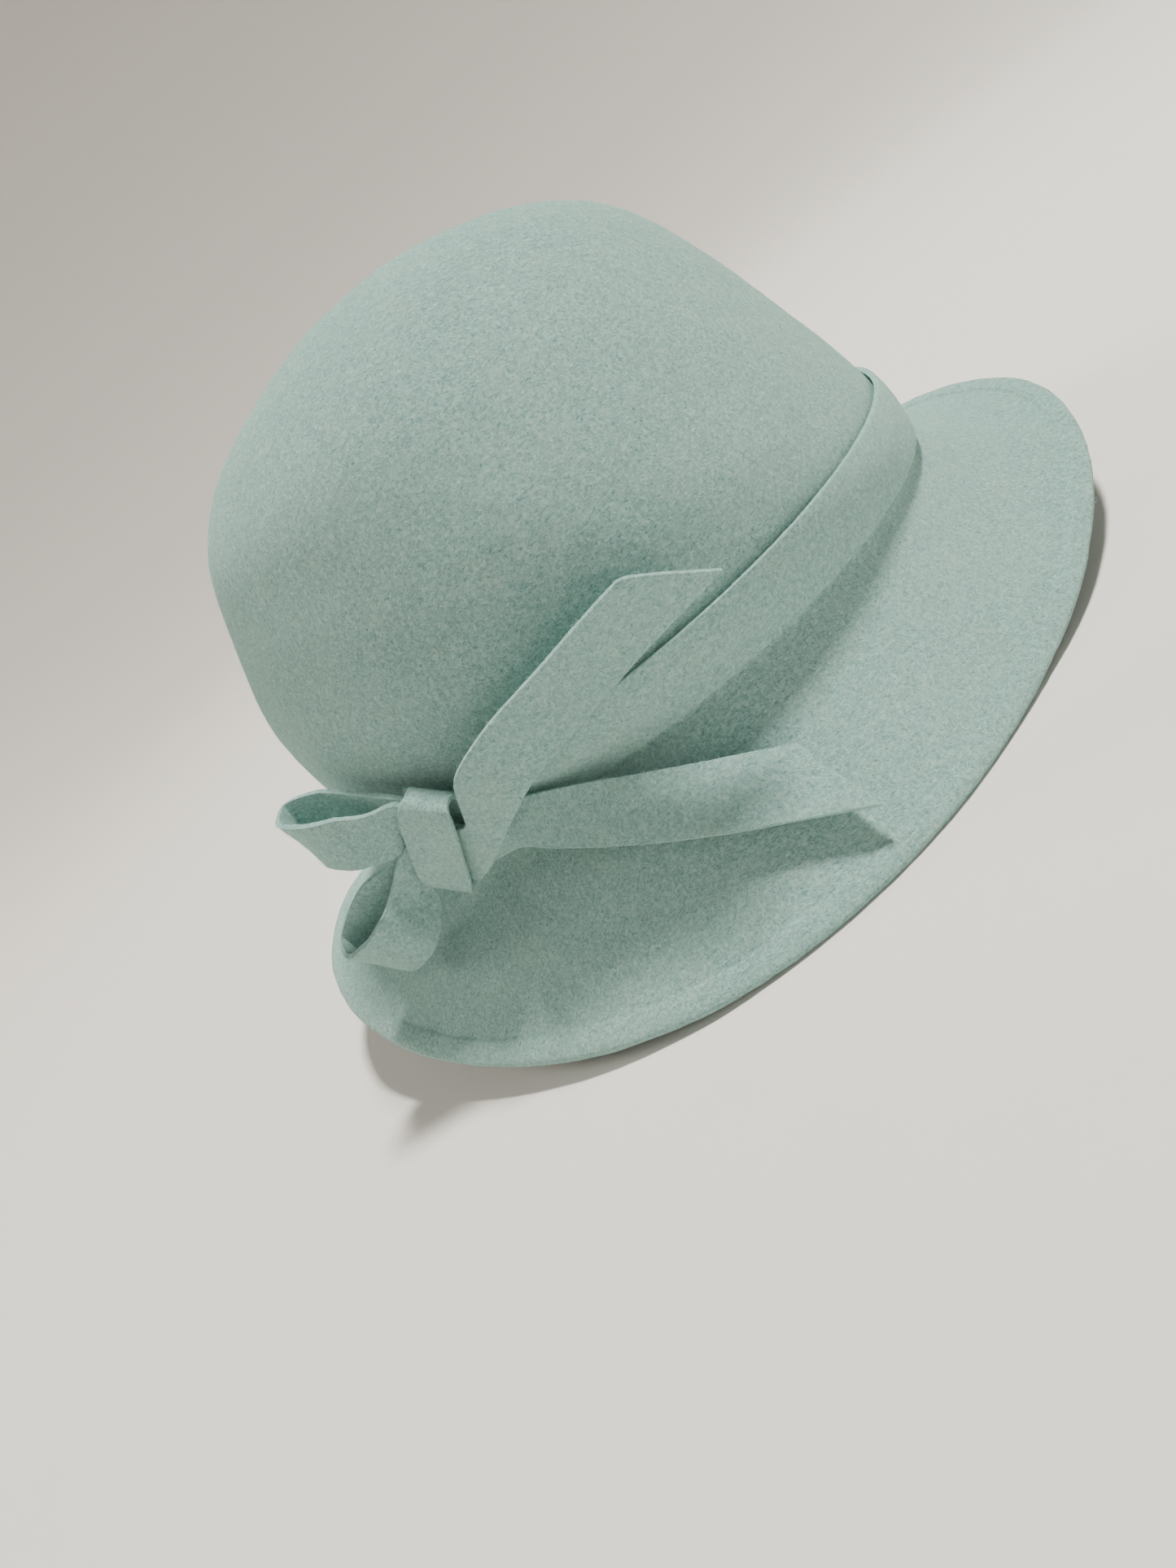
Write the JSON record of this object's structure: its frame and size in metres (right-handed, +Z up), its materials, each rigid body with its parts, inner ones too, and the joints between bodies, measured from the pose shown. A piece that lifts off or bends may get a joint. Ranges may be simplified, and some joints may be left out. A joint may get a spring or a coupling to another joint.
{
  "type": "cloche hat",
  "caption": "Felt cloche hat with a rounded crown, a downturned brim, a flat felt band and a folded felt bow at one side.",
  "frame": {"origin": "middle of the footprint on the surface the rim rests on", "axes": "+Z up through the crown, -Y towards the wearer's front, -X towards the wearer's right, where the bow is"},
  "size_m": [0.2462, 0.3072, 0.1849],
  "materials": {
    "felt": "matte brushed wool felt, pale teal"
  },
  "bodies": {
    "root": {"hat_body": "felt", "hat_band": "felt", "bow_tail_upper": "felt", "bow_tail_lower": "felt", "bow_loop_upper": "felt", "bow_loop_lower": "felt", "bow_knot": "felt"}
  },
  "joints": []
}
